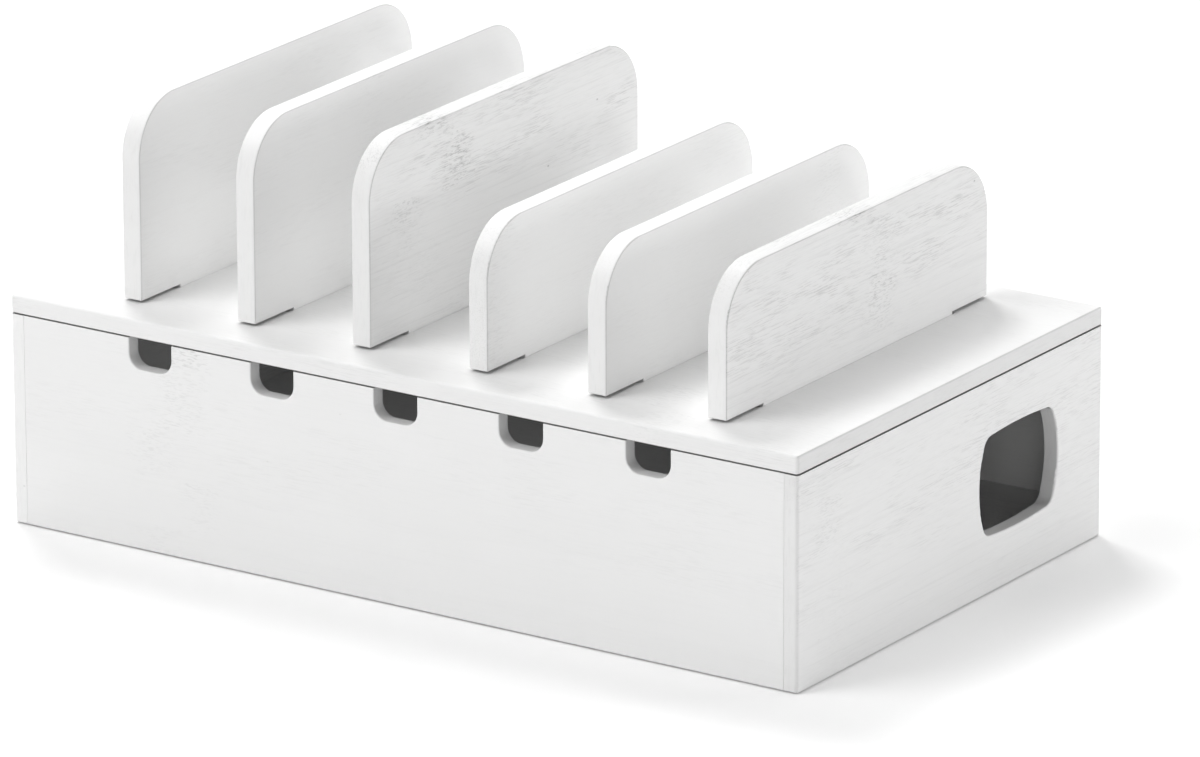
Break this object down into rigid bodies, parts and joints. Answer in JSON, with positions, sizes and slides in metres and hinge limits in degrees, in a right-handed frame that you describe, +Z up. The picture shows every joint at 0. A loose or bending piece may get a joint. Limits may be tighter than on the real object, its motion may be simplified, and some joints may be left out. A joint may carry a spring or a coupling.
{
  "type": "charging station organizer",
  "caption": "Low white bamboo box with a lift-off lid that carries a row of plug-in dividers; cable notches along the front and a cable port in the right side.",
  "frame": {"origin": "under the middle of the box, on the surface that it stands on", "axes": "+X along the box's long side, to the right; +Z up; the notched front faces -Y"},
  "size_m": [0.3, 0.181, 0.1443],
  "materials": {
    "white_bamboo": "white painted bamboo, satin, faint grain and node bands",
    "foot_rubber": "matt pale grey"
  },
  "bodies": {
    "box": {"front_panel": "white_bamboo", "back_panel": "white_bamboo", "left_side_panel": "white_bamboo", "right_side_panel": "white_bamboo", "floor_panel": "white_bamboo", "foot_front_left": "foot_rubber", "foot_front_right": "foot_rubber", "foot_back_left": "foot_rubber", "foot_back_right": "foot_rubber"},
    "lid": {"lid_panel": "white_bamboo", "batten_left": "white_bamboo", "batten_right": "white_bamboo"},
    "divider_tall_left": {"divider_tall_left": "white_bamboo"},
    "divider_tall_middle": {"divider_tall_middle": "white_bamboo"},
    "divider_tall_right": {"divider_tall_right": "white_bamboo"},
    "divider_short_left": {"divider_short_left": "white_bamboo"},
    "divider_short_middle": {"divider_short_middle": "white_bamboo"},
    "divider_short_right": {"divider_short_right": "white_bamboo"}
  },
  "joints": [
    {"name": "lid_lift", "type": "slide", "parent": "box", "child": "lid", "axis": [0, 0, 1], "range_m": [0, 0.1]},
    {"name": "divider_tall_left_lift", "type": "slide", "parent": "lid", "child": "divider_tall_left", "axis": [0, 0, 1], "range_m": [0, 0.08]},
    {"name": "divider_tall_middle_lift", "type": "slide", "parent": "lid", "child": "divider_tall_middle", "axis": [0, 0, 1], "range_m": [0, 0.08]},
    {"name": "divider_tall_right_lift", "type": "slide", "parent": "lid", "child": "divider_tall_right", "axis": [0, 0, 1], "range_m": [0, 0.08]},
    {"name": "divider_short_left_lift", "type": "slide", "parent": "lid", "child": "divider_short_left", "axis": [0, 0, 1], "range_m": [0, 0.08]},
    {"name": "divider_short_middle_lift", "type": "slide", "parent": "lid", "child": "divider_short_middle", "axis": [0, 0, 1], "range_m": [0, 0.08]},
    {"name": "divider_short_right_lift", "type": "slide", "parent": "lid", "child": "divider_short_right", "axis": [0, 0, 1], "range_m": [0, 0.08]}
  ]
}
